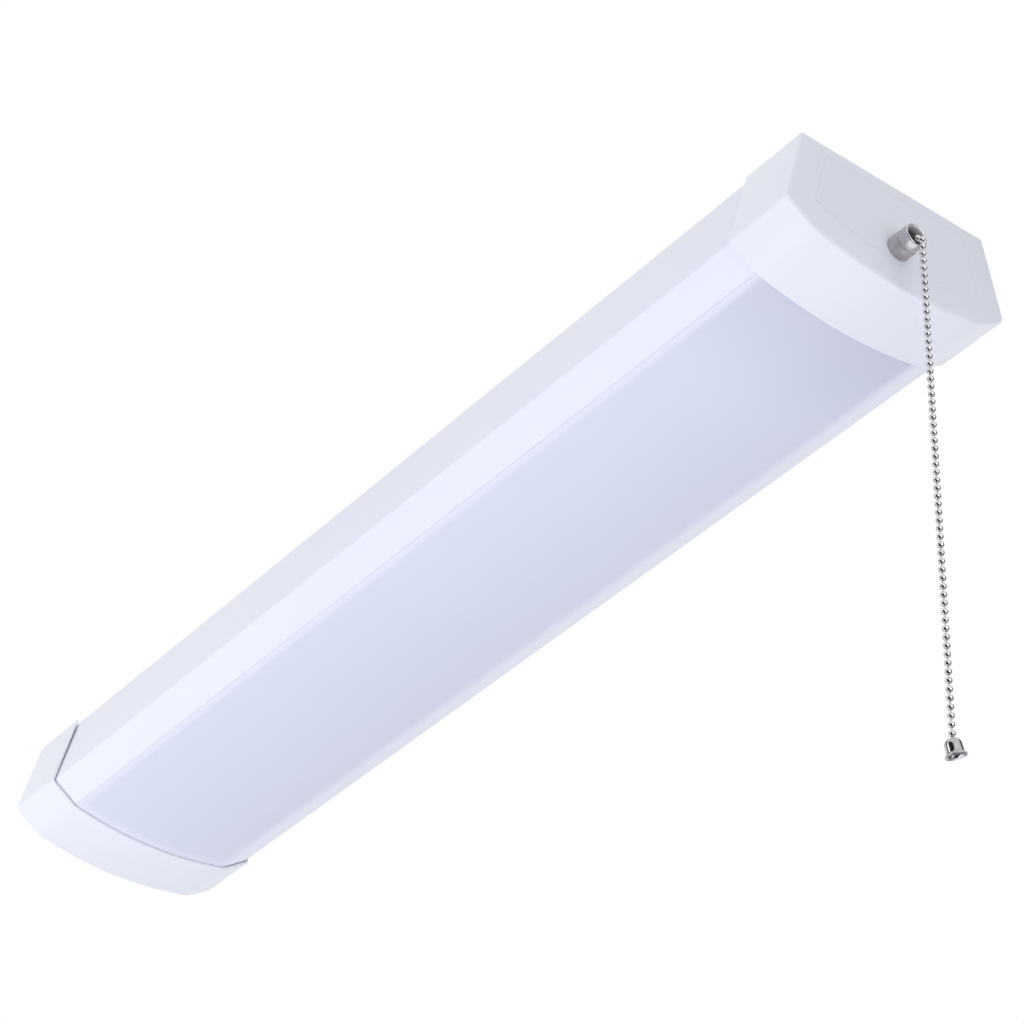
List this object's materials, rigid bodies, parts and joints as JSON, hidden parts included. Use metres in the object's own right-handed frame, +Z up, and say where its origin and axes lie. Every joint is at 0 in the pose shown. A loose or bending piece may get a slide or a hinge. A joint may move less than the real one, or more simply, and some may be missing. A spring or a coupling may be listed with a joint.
{
  "type": "shop light",
  "caption": "Slim white ceiling or hanging shop light with a bowed milky diffuser, moulded end caps and a ball chain pull switch with a bell.",
  "frame": {"origin": "middle of the back face, which lies against the ceiling", "axes": "+X along the light towards the pull chain, +Z up into the ceiling; the diffuser faces -Z"},
  "size_m": [0.6287, 0.1228, 0.3],
  "materials": {
    "painted_steel": "satin white coating",
    "diffuser": "milky, frosted inside, clear rim",
    "cap_plastic": "moulded, semi-gloss",
    "galvanised": "plain galvanised sheet",
    "tray_white": "white reflector coating",
    "board_white": "white solder mask",
    "led": "phosphor package",
    "screw": "zinc plated",
    "connector": "ivory nylon",
    "driver_white": "moulded",
    "board_green": "green solder mask",
    "ferrite": "dark core with tape",
    "capacitor": "sleeved",
    "choke": "enamelled winding",
    "terminal": "moulded",
    "brass": "plain",
    "earth_green": "green screw",
    "lead_brown": "insulation",
    "lead_black": "insulation",
    "lead_blue": "insulation",
    "lead_green": "insulation",
    "lead_red": "insulation",
    "phenolic": "dark moulding",
    "lever_plastic": "nylon",
    "drum_plastic": "moulding",
    "spring_steel": "plain",
    "nut_nickel": "satin nickel",
    "spout_nickel": "polished nickel",
    "chain_nickel": "bright nickel",
    "bell_nickel": "bright nickel"
  },
  "bodies": {
    "fixture": {"housing": "painted_steel", "diffuser": "diffuser", "end_cap_switch": "cap_plastic", "end_cap_plain": "cap_plastic", "tray_brackets": "galvanised", "gear_tray": "tray_white", "tray_screws": "screw", "led_board_left": "board_white", "led_board_right": "board_white", "led_packages": "led", "board_screws": "screw", "board_connectors": "connector", "driver_case": "driver_white", "driver_lid": "driver_white", "driver_board": "board_green", "driver_transformer": "ferrite", "driver_capacitors": "capacitor", "driver_choke": "choke", "driver_screws": "screw", "terminal_block": "terminal", "terminal_screws": "brass", "earth_screw": "earth_green", "live_lead": "lead_brown", "switched_lead": "lead_black", "neutral_lead": "lead_blue", "earth_lead": "lead_green", "led_leads": "lead_red", "switch_case": "phenolic", "switch_cover": "phenolic", "switch_pin": "spring_steel", "contact_springs": "brass", "return_spring": "spring_steel", "switch_nipple": "nut_nickel", "bushing_nut": "nut_nickel", "spout": "spout_nickel"},
    "contact_drum": {"contact_drum": "drum_plastic"},
    "switch_lever": {"switch_lever": "lever_plastic"},
    "chain_inner": {"chain_end_pin": "chain_nickel", "chain_inner_balls": "chain_nickel", "chain_inner_links": "chain_nickel"},
    "chain_bend_first": {"chain_bend_first": "chain_nickel"},
    "chain_bend_middle": {"chain_bend_middle": "chain_nickel"},
    "chain_bend_last": {"chain_bend_last": "chain_nickel"},
    "chain_lead": {"chain_lead_ball": "chain_nickel"},
    "chain_swivel": {"chain_swivel_ball": "chain_nickel"},
    "chain_hang": {"chain_balls": "chain_nickel", "chain_links": "chain_nickel"},
    "bell": {"bell": "bell_nickel"}
  },
  "joints": [
    {"name": "pull", "type": "slide", "parent": "fixture", "child": "chain_lead", "axis": [0, 0, -1], "range_m": [0, 0.008], "stiffness_N_per_m": 30, "springref_m": -0.012},
    {"name": "inner_run", "type": "slide", "parent": "fixture", "child": "chain_inner", "axis": [1, 0, 0], "range_m": [0, 0.008]},
    {"name": "bend_first", "type": "hinge", "parent": "fixture", "child": "chain_bend_first", "pos_m": [0.31295, 0, -0.04836], "axis": [0, 1, 0], "range_deg": [0, 45]},
    {"name": "bend_middle", "type": "hinge", "parent": "fixture", "child": "chain_bend_middle", "pos_m": [0.31495, 0, -0.04325], "axis": [0, 1, 0], "range_deg": [0, 90]},
    {"name": "bend_last", "type": "hinge", "parent": "fixture", "child": "chain_bend_last", "pos_m": [0.31032, 0, -0.04505], "axis": [0, 1, 0], "range_deg": [0, 45]},
    {"name": "lever", "type": "hinge", "parent": "fixture", "child": "switch_lever", "pos_m": [0.29495, 0, -0.0267], "axis": [0, -1, 0], "range_deg": [0, 36.88]},
    {"name": "drum_turn", "type": "hinge", "parent": "fixture", "child": "contact_drum", "pos_m": [0.29495, 0, -0.0267], "axis": [0, 1, 0], "continuous": true},
    {"name": "swing_along", "type": "hinge", "parent": "chain_lead", "child": "chain_swivel", "pos_m": [0.3195, 0, -0.04125], "axis": [0, -1, 0], "range_deg": [-30, 60]},
    {"name": "swing_across", "type": "hinge", "parent": "chain_swivel", "child": "chain_hang", "pos_m": [0.3195, 0, -0.04525], "axis": [1, 0, 0], "range_deg": [-60, 60]},
    {"name": "bell_tilt", "type": "hinge", "parent": "chain_hang", "child": "bell", "pos_m": [0.3195, 0, -0.29325], "axis": [-0.9848, -0.1736, 0], "range_deg": [0, 42]}
  ],
  "couplings": [
    {"joint": "inner_run", "follows": "pull", "ratio": 1},
    {"joint": "bend_first", "follows": "pull", "rad_per_m": 98.17},
    {"joint": "bend_middle", "follows": "pull", "rad_per_m": 196.34},
    {"joint": "bend_last", "follows": "pull", "rad_per_m": 98.17},
    {"joint": "lever", "follows": "pull", "rad_per_m": 80.44}
  ]
}
